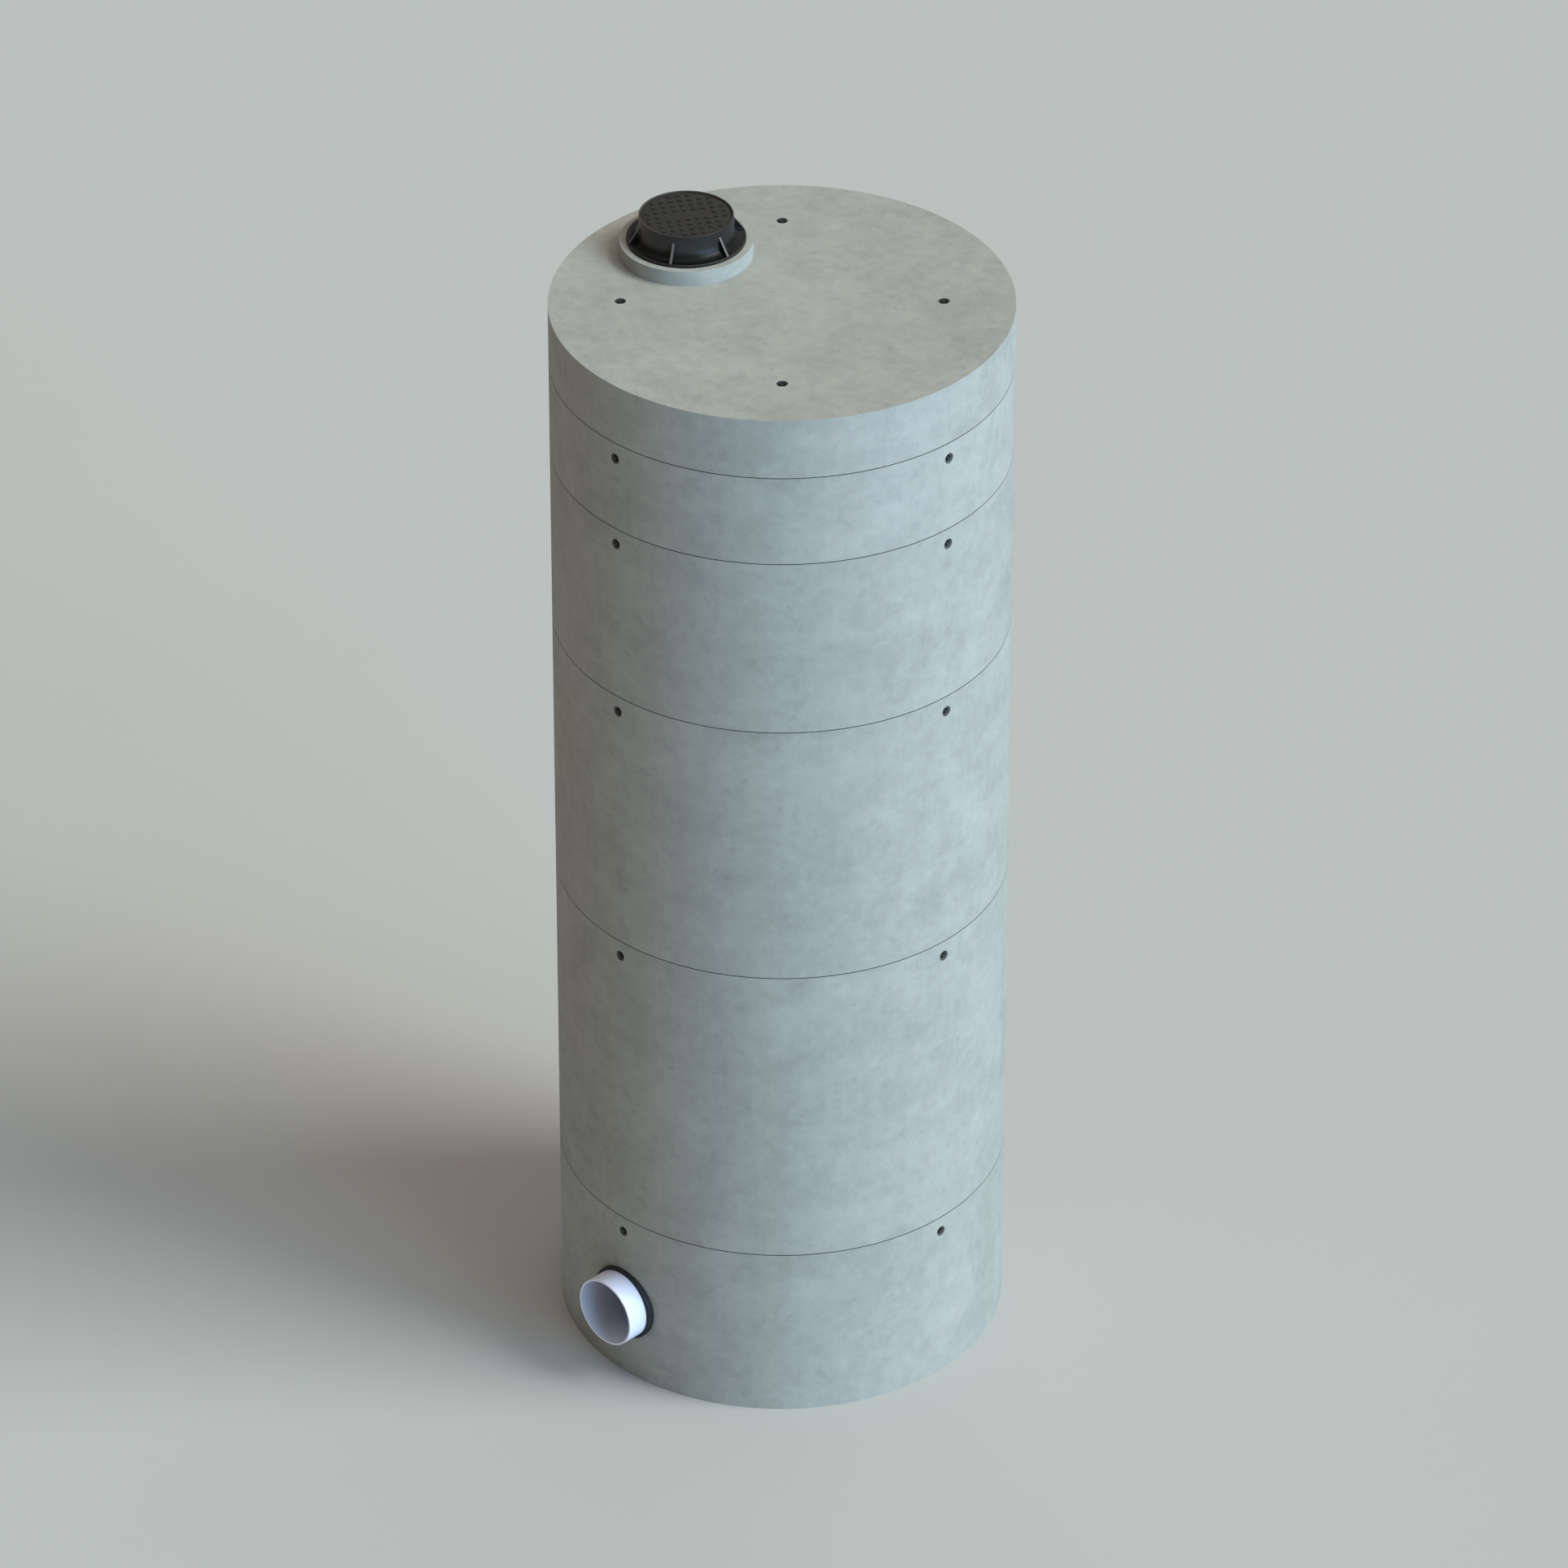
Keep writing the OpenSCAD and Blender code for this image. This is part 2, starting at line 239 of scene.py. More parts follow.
def painted_recess_shade(f, place, upright):
    """Painted shade in the lifting recesses, from 0 to 1: some in the bowl, more further down it,
    and most in the socket. Four recesses lie the same way on four sides, so folding the plan by
    absolute values brings them onto one, and the rest is a distance to that one's axis."""
    x, y, z = f.axes()
    x, y = f.math("ABSOLUTE", x), f.math("ABSOLUTE", y)
    if upright:
        away, depth = f.length(x - place[0], y - place[1]), place[2] - z
    else:
        away = f.length(f.math("MINIMUM", x, y), z - place[2])
        depth = place[0] - f.length(x, y)
    most = SLAB_BOWL_SHADE if upright else WALL_BOWL_SHADE
    in_bowl = f.step(away, BOWL_R - 0.0005, BOWL_R + 0.0010, 1.0, 0.0)
    in_socket = f.step(away, SOCKET_R + 0.0005, SOCKET_R + 0.0020, 1.0, 0.0)
    bowl = f.step(depth, 0.0003, 0.0040, 0.0, most) * in_bowl
    socket = f.step(depth, SOCKET_DEEP - 0.0010, SOCKET_DEEP + 0.0020) * in_socket
    return f.math("MAXIMUM", bowl, socket)


def joint_dirt(f, wall_r, low, high):
    """Dirt at the seams, from 0 to 1: black sealant where a point lies behind the wall's face,
    at the section's underside or above its shoulder, and a thin smear of it on the face."""
    x, y, z = f.axes()
    depth = wall_r - f.length(x, y)
    under = f.step(z, low + SEALANT_IN, low + 2 * SEALANT_IN, 1.0, 0.0)
    over = f.step(z, high - 2 * SEALANT_IN, high - SEALANT_IN)
    sealant = f.step(depth, 0.0002, 0.0012) * (under + over)
    smear_low = f.step(z, low, low + SMEAR_W, SMEAR, 0.0)
    smear_high = f.step(z, high - SMEAR_W, high, 0.0, SMEAR)
    return f.math("MAXIMUM", sealant, smear_low + smear_high)


print("dirt for bowls of", BOWL_R, "m radius and smears", SMEAR_W, "m wide")

# %% [markdown]
# The concrete itself is a sum. Each cloud swings about 0.5, so taking 0.5 from it and giving it
# a strength adds light and dark in equal parts, and the mean grey stays as chosen. Holes, grains
# and damp patches then multiply the tone, because they only ever darken it or lighten it. The
# same holes and the sand go into the relief, so colour and shape agree. One large noise could
# give the colour alone, but it looks like smoke: it takes several sizes to look cast.

# %% The concrete
def concrete(name, grey, shift, shade_and_sealant=()):
    """Grey times clouds, bands, streaks and specks, with blowholes and sand in the relief."""
    f = Finish(name, Specular_IOR_Level=0.2)

    def moved(by):
        """The place shifted once more, so that two patterns don't lie on each other."""
        return f.spread(shift=tuple(v + by for v in shift))

    here = f.spread(shift=shift)
    drift = f.cloud(0.9, here, 2.0, 0.45)
    clouds = f.cloud(0.32, here, 5.0, 0.62, 0.35)
    mottle = f.cloud(0.075, here, 4.0, 0.6)
    lifts = f.cloud(0.16, f.spread((0.12, 0.12, 1.0), shift), 3.0, 0.6)
    streaks = f.cloud(0.05, f.spread((1.0, 1.0, 0.05), shift), 3.0, 0.6)
    sand = f.cloud(0.006, here, 3.0, 0.7)

    tone = (1 + 0.16 * (drift - 0.5) + 0.44 * (clouds - 0.5) + 0.30 * (mottle - 0.5)
            + 0.16 * (lifts - 0.5) + 0.08 * (streaks - 0.5) + 0.24 * (sand - 0.5))

    crowd = f.step(f.cloud(0.28, here, 3.0, 0.6), 0.50, 0.66)
    blowholes = f.spots(0.024, 0.0042, 0.8, here) * crowd
    pinholes = f.spots(0.011, 0.0022, 0.5, here) * f.step(mottle, 0.45, 0.7)
    dark_grains = f.spots(0.016, 0.0034, 0.30, moved(3.1))
    pale_grains = f.spots(0.038, 0.0060, 0.22, moved(7.7))
    damp = f.step(f.cloud(0.11, moved(5.3), 4.0, 0.6), 0.58, 0.72)

    tone = tone * (1 - 0.32 * blowholes) * (1 - 0.30 * pinholes) * (1 - 0.16 * dark_grains)
    tone = tone * (1 + 0.20 * pale_grains) * (1 - 0.09 * damp)
    # Painted shade darkens the recesses here, and black sealant darkens the seams.
    for kind, *where in shade_and_sealant:
        tone = tone * (1 - 0.95 * kind(f, *where))
    colour = f.shade(grey, tone)

    skin = f.bump(sand, 0.0006, f.bump(f.cloud(0.03, here, 3.0, 0.55), 0.0006))
    relief = f.bump(1 - f.step(blowholes + 0.5 * pinholes, 0.0, 1.0), 0.003, skin)
    rough = 0.84 + 0.16 * (clouds - 0.5) + 0.08 * blowholes
    return f.use(Base_Color=colour, Roughness=rough, Normal=relief)


print("concrete ready")

# %% [markdown]
# Seven sections came out of seven moulds on different days, so they differ by about a hundredth
# in lightness. Each one also reads its clouds from another place in space, or two rings would
# show the same patches. The solids keep their exact meshes, and only the material in their slot
# is changed, so the joints stay as they were made.

# %% A finish for each section
GREY = (0.374, 0.360, 0.324, 1)
sections = ["base", "riser_1", "riser_2", "riser_3", "riser_4", "top_slab", "grade_ring"]
# How light each section came out of its mould, next to the others
lightness = dict(zip(sections, (1.00, 0.995, 1.005, 0.99, 1.01, 1.00, 1.02)))

# Where the lifting recesses lie: in the slab's top, and in the walls below each shoulder
TONGUE_H, RECESS_DROP, SLAB_RECESS_R = 0.100, 0.110, 1.000
slab_recess = SLAB_RECESS_R * math.sqrt(0.5)

# How far the clouds move from one section to the next, and where a seam goes that isn't there
STRIDE, FAR = (1.7, -2.3, 0.9), 1.0

for number, section in enumerate(sections):
    grey = tuple(v * lightness[section] for v in GREY[:3]) + (1,)
    shift = tuple(number * stride for stride in STRIDE)
    low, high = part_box(section)
    shoulder = high[2] - TONGUE_H
    if section == "grade_ring":
        shade_and_sealant = []
    elif section == "top_slab":
        shade_and_sealant = [(painted_recess_shade, (slab_recess, slab_recess, high[2]), True),
                (joint_dirt, high[0], low[2], high[2] + FAR)]
    else:
        seam = low[2] - FAR if section == "base" else low[2]
        shade_and_sealant = [(painted_recess_shade, (high[0], 0.0, shoulder - RECESS_DROP), False),
                (joint_dirt, high[0], seam, shoulder)]
    finish = concrete("cast_concrete_" + section, grey, shift, shade_and_sealant)
    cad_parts[section].material_slots[0].material = finish
print("concrete on", len(sections), "sections")

# %% [markdown]
# ## Cast iron, dipped black
#
# The frame and cover were cast in sand, which leaves a fine pebbled skin, and dipped in black
# bitumen, which fills the finest pits and sets to a satin. A bare iron shader would mirror the
# room like a machined part. A dark, slightly uneven coat over two sizes of grain is nearer.
#
# Where hands, shoes and tyres rub, the coat wears through to grey. The same grey also paints
# highlights and light on the frame, and shade on the sides of the cover's bars, which it leaves
# black. Each mesh carries that as a number at its points, for worn coat and painted light
# together, and the finish reads it.

# %% The cast-iron finish
COAT, WORN_AND_LIT_GREY = (0.0035, 0.0036, 0.0034, 1), (0.200, 0.167, 0.146, 1)


def cast_iron(name, coat_roughness, worn_roughness):
    """Black coat over coarse lumps and fine sand grain, greyer where the points' value for worn coat
    and painted light is 1.
    """
    f = Finish(name, Specular_IOR_Level=0.2)
    patches = f.cloud(0.09, None, 4.0, 0.6)
    lumps = f.cloud(0.018, None, 3.0, 0.5)
    grain = f.cloud(0.0025, None, 2.0, 0.6)
    wear = f.node("ShaderNodeAttribute", {"attribute_name": "wear"}, {}, "Fac")
    # Painted light: this grey stands for worn coat and for painted highlights, light and shade.
    rubbed_and_lit = wear * (0.70 + 0.45 * patches + 0.30 * (grain - 0.5))
    colour = f.tint(COAT, rubbed_and_lit, WORN_AND_LIT_GREY)
    relief = f.bump(grain, 0.0001, f.bump(lumps, 0.0003))
    change = (worn_roughness - coat_roughness) * f.step(wear, 0.0, 0.1)
    rough = coat_roughness + 0.12 * (patches - 0.5) + change
    return f.use(Base_Color=colour, Roughness=rough, Normal=relief)


frame_iron = cast_iron("dipped_iron_frame", 0.40, 0.42)
cover_iron = cast_iron("dipped_iron_cover", 0.70, 0.48)
print("iron ready")

# %% [markdown]
# ## Plastic pipe, rubber boot and steel anchors
#
# The pipe is extruded plastic: nearly white, with faint lines along it from the die, and painted
# greyer in the bore as shade. The boot is moulded rubber, black and matt with a grey bloom. The
# anchors are forged and left raw, so they are dull and dark with scale. Plain colours would do
# from afar, but close to they look like toys, so each gets its own maker's marks.

# %% The finishes of the small parts
WHITE, DARK_BORE_SHADE, PALE_BORE_SHADE = (0.84, 0.81, 0.94, 1), (0.58, 0.59, 0.69, 1), (0.80, 0.83, 0.97, 1)
SCUFF, RUBBER, BLOOM = (0.55, 0.54, 0.52, 1), (0.016, 0.015, 0.014, 1), (0.042, 0.039, 0.036, 1)
STEEL, SCALE = (0.040, 0.039, 0.037, 1), (0.022, 0.021, 0.020, 1)


def extruded_plastic(name, axis_z, bore_r):
    """White with faint die lines along Y, fine scuffs and a satin gloss. Nearer than bore_r to the
    pipe's axis, which runs along Y at the height axis_z, it is painted greyer as shade, darkest
    towards -X, where the lamps light the inside."""
    f = Finish(name, IOR=1.5)
    lines = f.cloud(0.004, f.spread((1.0, 0.01, 1.0)), 2.0, 0.5)
    haze = f.cloud(0.12, None, 4.0, 0.6)
    scuffs = f.step(f.cloud(0.02, f.spread((1.0, 0.2, 1.0)), 5.0, 0.7), 0.60, 0.74)
    colour = f.shade(WHITE, 0.97 + 0.05 * haze)
    x, _, z = f.axes()
    # Painted shade: the bore is painted greyer and bluer, darkest towards -X, where the lamps light
    # its inside.
    away = f.length(x, z - axis_z)
    bore_shade = f.step(away, bore_r + 0.0004, bore_r + 0.0012, 1.0, 0.0) * (0.92 + 0.16 * haze)
    bore_tint = f.tint(DARK_BORE_SHADE, f.step(x, -0.7 * bore_r, 0.4 * bore_r), PALE_BORE_SHADE)
    colour = f.tint(colour, bore_shade, bore_tint)
    colour = f.tint(colour, 0.10 * scuffs, SCUFF)
    return f.use(Base_Color=colour, Roughness=0.26 + 0.12 * haze + 0.2 * scuffs,
                 Normal=f.bump(lines, 0.00015))


def moulded_rubber(name):
    """Near black with a grey bloom in patches, matt, with a fine pebble."""
    f = Finish(name, Specular_IOR_Level=0.3)
    bloom = f.step(f.cloud(0.06, None, 5.0, 0.65), 0.40, 0.75)
    pebble = f.cloud(0.0015, None, 2.0, 0.6)
    colour = f.tint(RUBBER, bloom * 0.5, BLOOM)
    return f.use(Base_Color=colour, Roughness=0.55 + 0.2 * bloom, Normal=f.bump(pebble, 0.0002))


def forged_steel(name):
    """Dark dull grey metal with darker scale in patches."""
    f = Finish(name)
    scale = f.step(f.cloud(0.012, None, 4.0, 0.65), 0.42, 0.62)
    colour = f.tint(STEEL, scale, SCALE)
    return f.use(Base_Color=colour, Roughness=0.55 + 0.20 * scale, Metallic=0.5 - 0.3 * scale,
                 Normal=f.bump(scale, 0.0003))


PIPE_BORE = 0.2208
pipe_low, pipe_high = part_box("outlet_pipe")
PIPE_Z, PIPE_R = (pipe_low[2] + pipe_high[2]) / 2, (pipe_high[0] - pipe_low[0]) / 2
white_plastic = extruded_plastic("white_plastic", PIPE_Z, PIPE_BORE)
black_rubber = moulded_rubber("black_rubber")
raw_steel = forged_steel("forged_steel")
print("plastic, rubber and steel ready")

# %% [markdown]
# ## Surfaces from profiles
#
# Castings and mouldings have no knife edges: sand, wax and rubber all need a radius. Rounding a
# finished mesh with a Bevel modifier works, but it has to find the edges first, and on a curved
# wall it finds too many. Here the radius goes in at the start: a profile is a list of corners,
# each with its own radius, and the surface comes from sweeping that profile.

# %% A profile with a radius at each corner
def soften(corners, steps=8):
    """Each corner (x, y, radius) becomes an arc that touches the two sides that meet there. The
    arc's centre lies on the corner's bisector, radius / sin(half angle) away, and the arc runs
    between its two touching points by spherical interpolation."""
    corners = np.array(corners, float)
    at, radius = corners[:, :2], corners[:, 2:]
    back, ahead = np.roll(at, 1, 0) - at, np.roll(at, -1, 0) - at
    back /= np.linalg.norm(back, axis=1, keepdims=True)
    ahead /= np.linalg.norm(ahead, axis=1, keepdims=True)
    half = np.arccos(np.clip((back * ahead).sum(1, keepdims=True), -1, 1)) / 2
    bisector = (back + ahead) / np.linalg.norm(back + ahead, axis=1, keepdims=True)
    centre = at + bisector * radius / np.sin(half)
    first = (at + back * radius / np.tan(half) - centre)[:, None]
    last = (at + ahead * radius / np.tan(half) - centre)[:, None]
    sweep = (np.pi - 2 * half)[:, None]
    t = np.linspace(0, 1, steps)[None, :, None]
    arc = (np.sin((1 - t) * sweep) * first + np.sin(t * sweep) * last) / np.sin(sweep)
    return (centre[:, None] + arc).reshape(-1, 2)


square = soften([(0, 0, 0.1), (1, 0, 0.1), (1, 1, 0.1), (0, 1, 0.1)])
print("a softened square has", len(square), "points")

# %% [markdown]
# A sweep leaves its points in rows and columns, and four neighbours make a face. Turning is the
# sweep that most round castings come from, as a pattern maker turns the wooden pattern for the
# sand. A lathe made of a Screw modifier would give the same, but its mesh exists only after the
# modifier has run, and here worn coat and painted light have to be written on the points themselves.

# %% Grids of faces, and a profile turned about an axis
def quads(rows, columns, closed_rows=True):
    """The four corners of every cell of a grid that closes along its columns."""
    i = np.arange(rows if closed_rows else rows - 1)[:, None]
    j = np.arange(columns)[None, :]
    below, next_j = (i + 1) % rows, (j + 1) % columns
    return np.stack([i * columns + j, i * columns + next_j,
                     below * columns + next_j, below * columns + j], -1).reshape(-1, 4)


def turned(profile, origin, axis=(0, 0, 1), around=192):
    """A closed profile (radius, height) turned about an axis: radius times the unit circle in
    the plane across the axis, plus height along the axis. A profile that starts and ends on the
    axis gets a pole there, and one that runs clockwise gets its faces turned round."""
    axis = np.array(axis, float)
    side = np.cross(axis, (0.0, 0.0, 1.0) if abs(axis[2]) < 0.9 else (1.0, 0.0, 0.0))
    side /= np.linalg.norm(side)
    other = np.cross(axis, side)
    turn = np.linspace(0, 2 * np.pi, around, endpoint=False)
    circle = np.cos(turn)[:, None] * side + np.sin(turn)[:, None] * other
    ring = np.array([p for p in profile if p[0] > 1e-9])
    poles = len(ring) < len(profile)
    points = (ring[:, 0, None, None] * circle + ring[:, 1, None, None] * axis + np.array(origin))
    faces = quads(len(ring), around, closed_rows=not poles).tolist()
    points = points.reshape(-1, 3)
    if poles:
        ends = np.array([profile[0], profile[-1]])
        points = np.concatenate([points, ends[:, 1, None] * axis + np.array(origin)])
        j = np.arange(around)
        first, last = len(points) - 2, len(points) - 1
        far = (len(ring) - 1) * around
        faces += np.stack([np.full(around, first), (j + 1) % around, j], -1).tolist()
        faces += np.stack([np.full(around, last), far + j, far + (j + 1) % around], -1).tolist()
    radius, height = np.array(profile).T
    if np.sum(radius * np.roll(height, -1) - np.roll(radius, -1) * height) < 0:
        faces = [face[::-1] for face in faces]
    return points, faces


print("a turned square has", len(turned(square + [1, 0], (0, 0, 0))[1]), "faces")

# %% [markdown]
# Each visible piece is one object: its parts joined, one finish, one material slot, and the names
# of the solids that it stands in for. Faces are smooth, but edges sharper than 40 degrees stay
# crisp, so a flat top doesn't shade like a cushion.

# %% One object from its parts
SHARP = math.radians(40)


def piece(name, parts, finish, replaces=(), wear=None):
    """One object from several (points, faces) parts, smooth but for its sharp edges. The function
    for worn coat and painted light gives each point a value from 0 to 1 that the finish may read."""
    points, faces, start = [], [], 0
    for part_points, part_faces in parts:
        points.append(part_points.reshape(-1, 3))
        faces += [[start + v for v in face] for face in part_faces]
        start += len(points[-1])
    points = np.concatenate(points)
    mesh = bpy.data.meshes.new(name)
    mesh.from_pydata(points.tolist(), [], faces)
    if wear is not None:
        rubbed_and_lit = mesh.attributes.new("wear", "FLOAT", "POINT")
        rubbed_and_lit.data.foreach_set("value", wear(points).astype(np.float32))
    mesh.materials.append(finish)
    mesh.shade_smooth()
    mesh.set_sharp_from_angle(angle=SHARP)
    mesh.validate()
    made = bpy.data.objects.new(name, mesh)
    bpy.context.scene.collection.objects.link(made)
    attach(made, "root")
    if replaces:
        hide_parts(*replaces)
    print(name, len(mesh.vertices), "points,", len(mesh.polygons), "faces")


print("pieces keep edges sharp from", round(math.degrees(SHARP)), "degrees")

# %% [markdown]
# ## The cover frame
#
# The frame is one casting: a flange that beds on the grade ring, a wide cove, and a drum with a
# ledge inside for the cover. Its place and its outer sizes come from the solids, so that a new
# size there moves the casting too. Only what the solids' box doesn't show is written here.

# %% Where the frame stands
low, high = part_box("cover_frame")
way_in = np.array([(low[0] + high[0]) / 2, (low[1] + high[1]) / 2, low[2]])
flange_r, frame_h = (high[0] - low[0]) / 2, high[2] - low[2]
DRUM_R, POCKET_R, SEAT_R, OPENING_R = 0.297, 0.283, 0.258, 0.305
FLANGE_T, COVE_R, SEAT_T, UNDERCUT_H = 0.020, 0.068, 0.020, 0.011
cover_low, cover_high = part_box("cover")
COVER_R, BAR_H, COVER_EDGE_T = (cover_high[0] - cover_low[0]) / 2, 0.005, 0.038
FACE_Z = cover_high[2] - low[2] - BAR_H
SEAT_Z = FACE_Z - COVER_EDGE_T
NECK_Z = SEAT_Z - SEAT_T - UNDERCUT_H
print("frame at", way_in.round(3), "flange radius", round(flange_r, 4), "height", round(frame_h, 4))

# %% [markdown]
# The frame's section is one closed outline: along the bed, up the flange's edge, round the cove
# to the drum, over the rim, down inside to the ledge and out again to the wider neck below it.
# The cove is only a corner with a large radius. Turning the outline makes a ring with no seam.

# %% The frame's section, turned
NECK_FOOT = 0.054
frame_section = soften([
    (OPENING_R, 0, 0.002), (flange_r, 0, 0.002), (flange_r, FLANGE_T, 0.004),
    (DRUM_R, FLANGE_T, COVE_R), (DRUM_R, frame_h, 0.0035), (POCKET_R, frame_h, 0.0025),
    (POCKET_R, SEAT_Z, 0.002), (SEAT_R, SEAT_Z, 0.002), (SEAT_R, SEAT_Z - SEAT_T, 0.003),
    (POCKET_R, NECK_Z, 0.004), (POCKET_R, NECK_FOOT, 0.012)], steps=12)
frame_body = turned(frame_section, way_in)
print("frame section of", len(frame_section), "points")

# %% [markdown]
# Six upright gussets brace the drum to the flange. Each has its flat edge's corners taken off,
# and a fillet where it grows out of the cove. Booleans would join them to the drum exactly, but
# leave a sharp inside corner. A gusset drawn as a field of half thicknesses gets both radii from
# one formula. Its root sinks a little way into the casting, so no gap can open between them.

# %% A gusset
GUSSET_T, GUSSET_HEAD, GUSSET_FOOT = 0.015, frame_h - 0.048, flange_r - 0.004
EDGE_ROUND, FILLET = 0.001, 0.004
# The root follows the cove, climbs the drum in its last tenth, and sinks into the casting
LAST_TENTH, TENTHS, SINK, SINK_BACK = 0.9, 10, 0.004, 0.003
# A power over 1 crowds the points towards the sloping edge, where the small radius is
CROWD = 1.8


def gusset(turn, along=28, across=22):
    """s runs up the sloping edge, t from that edge into the casting. The place is a straight
    blend of the edge and the cove. Half the thickness is constant, less a quarter circle of
    EDGE_ROUND at the edge, plus a quarter-circle flare of FILLET at the cove."""
    s = np.linspace(0, 1, along)
    edge = np.stack([GUSSET_FOOT + s * (DRUM_R - GUSSET_FOOT),
                     FLANGE_T + s * (GUSSET_HEAD - FLANGE_T)], -1)
    sweep = s * np.pi / 2
    centre = np.array([DRUM_R + COVE_R, FLANGE_T + COVE_R])
    root = centre - COVE_R * np.stack([np.sin(sweep), np.cos(sweep)], -1)
    up = np.clip(s - LAST_TENTH, 0, 1) * TENTHS
    root[:, 1] += up * (GUSSET_HEAD - FLANGE_T - COVE_R)
    inward = (root - edge) / np.maximum(np.linalg.norm(root - edge, axis=1, keepdims=True), 1e-6)
    root = root + inward * SINK - np.array([SINK_BACK, 0])
    t = np.linspace(0, 1, across)[:, None, None] ** CROWD
    place = edge + t * (root - edge)
    from_edge = np.linalg.norm(place - edge, axis=-1)
    from_root = np.maximum(np.linalg.norm(place - root, axis=-1) - SINK, 0)
    near_edge = np.maximum(EDGE_ROUND - from_edge, 0)
    near_root = np.maximum(FILLET - from_root, 0)
    thick = (GUSSET_T / 2 - EDGE_ROUND + np.sqrt(EDGE_ROUND**2 - near_edge**2)
             + (FILLET - np.sqrt(FILLET**2 - near_root**2)) * (from_edge > 3 * EDGE_ROUND))
    side = np.concatenate([place[::-1], place])
    offset = np.concatenate([-thick[::-1], thick])
    out = np.array([math.cos(turn), math.sin(turn), 0])
    beside = np.array([-math.sin(turn), math.cos(turn), 0])
    points = (side[..., 0, None] * out + offset[..., None] * beside
              + side[..., 1, None] * np.array([0, 0, 1.0]) + way_in)
    rows = len(side)
    grid = points.transpose(1, 0, 2)
    faces = quads(along, rows, closed_rows=False).tolist()
    faces += [list(range(rows))[::-1], [(along - 1) * rows + j for j in range(rows)]]
    return grid, faces


gussets = [gusset(i * math.pi / 3) for i in range(6)]
print(len(gussets), "gussets", GUSSET_T, "m thick")

# %% [markdown]
# The coat wears where things touch it, and the same greys paint highlights on the rim, the
# flange's edge and the gussets' edges, and paint the drum lighter than the cove, most on its side
# away from the lamps and towards its foot. A mask could be painted by hand, but the places follow
# from the shape: how far a point is from the rim, from the flange's edge or from a gusset's edge.
# Each place gets its own strength, and the strongest one wins.

# %% Where the frame is worn and painted lighter, and the casting itself
LIT_SIDE = math.radians(5.0)
# Painted light: the drum is lighter on its lee side and towards its foot, and the edges' greys are
# painted highlights as well as worn coat.
DRUM_DUST_AND_LIGHT, LEE_PAINTED_LIGHT = 0.09, 0.24
EDGE_WEAR_AND_SHEEN, RIM_WEAR_AND_SHEEN, BRACE_WEAR_AND_SHEEN = 0.17, 0.14, 0.8


def rise(value, width):
    """0 where value is 0 or less, 1 where it is width or more, and straight between."""
    return np.clip(value / width, 0, 1)


def frame_wear_and_light(points):
    """Handling rubs what stands proud: the gussets' edges most, and the flange's edge and the rim a
    little, where the grey is also a painted highlight, while the cove keeps its black coat. The drum
    is dusty in part and painted lighter in part, more so on its lee side, away from the lamps, and
    towards its foot, fading out into the cove."""
    x, y, z = (points - way_in).T
    r = np.hypot(x, y)
    lee = 0.5 - 0.5 * np.cos(np.arctan2(y, x) - LIT_SIDE)
    cove_top = FLANGE_T + COVE_R
    foot = rise(frame_h - z, frame_h - cove_top)
    fade = rise(z - cove_top + 0.042, 0.036) * rise(DRUM_R + 0.022 - r, 0.010)
    drum = (DRUM_DUST_AND_LIGHT + LEE_PAINTED_LIGHT * lee) * (1 + (0.3 + 0.6 * lee) * foot) * fade
    edge = EDGE_WEAR_AND_SHEEN * rise(r - flange_r + 0.007, 0.003) * (z < FLANGE_T + 0.001)
    edge = edge * rise(z - 0.004, 0.006)
    rim = RIM_WEAR_AND_SHEEN * rise(z - frame_h + 0.005, 0.004)
    slope = (r - DRUM_R) * (GUSSET_HEAD - FLANGE_T) + (z - FLANGE_T) * (GUSSET_FOOT - DRUM_R)
    full = (GUSSET_FOOT - DRUM_R) * (GUSSET_HEAD - FLANGE_T)
    off_edge = (full - slope) / math.hypot(GUSSET_FOOT - DRUM_R, GUSSET_HEAD - FLANGE_T)
    on_gusset = np.abs(np.mod(np.arctan2(y, x) + np.pi / 6, np.pi / 3) - np.pi / 6) * r < 0.0080
    near = np.clip(1.4 - off_edge / 0.0015, 0, 1)
    brace = BRACE_WEAR_AND_SHEEN * near * on_gusset * (z > FLANGE_T) * (z < GUSSET_HEAD + 0.002)
    return np.maximum.reduce([drum, edge, rim, brace])


piece("cover_frame_casting", [frame_body] + gussets, frame_iron, ["cover_frame"],
      frame_wear_and_light)

# %% [markdown]
# ## The cover
#
# The cover drops into the frame's pocket and stands on the ledge. It is a plate with a deeper
# ring round its edge, which bears on the ledge, and it is turned from one section like the
# frame. A ring of points at INNER_R keeps the thin faces that meet in the middle short.

# %% The cover's plate
PLATE_T, EDGE_RING_W, INNER_R = 0.020, 0.034, 0.10
PLATE_Z, EDGE_R = FACE_Z - PLATE_T, COVER_R - EDGE_RING_W
plate = soften([(0, PLATE_Z, 0.001), (EDGE_R, PLATE_Z, 0.006), (EDGE_R, SEAT_Z, 0.002),
                (COVER_R, SEAT_Z, 0.002), (COVER_R, FACE_Z, 0.003), (0, FACE_Z, 0.001)], 6)[6:-6]
plate = np.concatenate([[(0, PLATE_Z), (INNER_R, PLATE_Z)], plate,
                        [(INNER_R, FACE_Z), (0, FACE_Z)]])
print("cover", round(2 * COVER_R, 4), "m across,", round(FACE_Z - SEAT_Z, 4), "m deep at its edge")

# %% [markdown]
# The face carries short tread bars on a square grid, so that tyres and shoes don't slip, and the
# middle row has a plain panel. A bar is a rounded oblong raised in a few steps, each a little
# further in, which gives the sloping sides that let a pattern out of the sand. Raised by a
# texture instead, the bars would vanish against the light and couldn't cast a shadow.

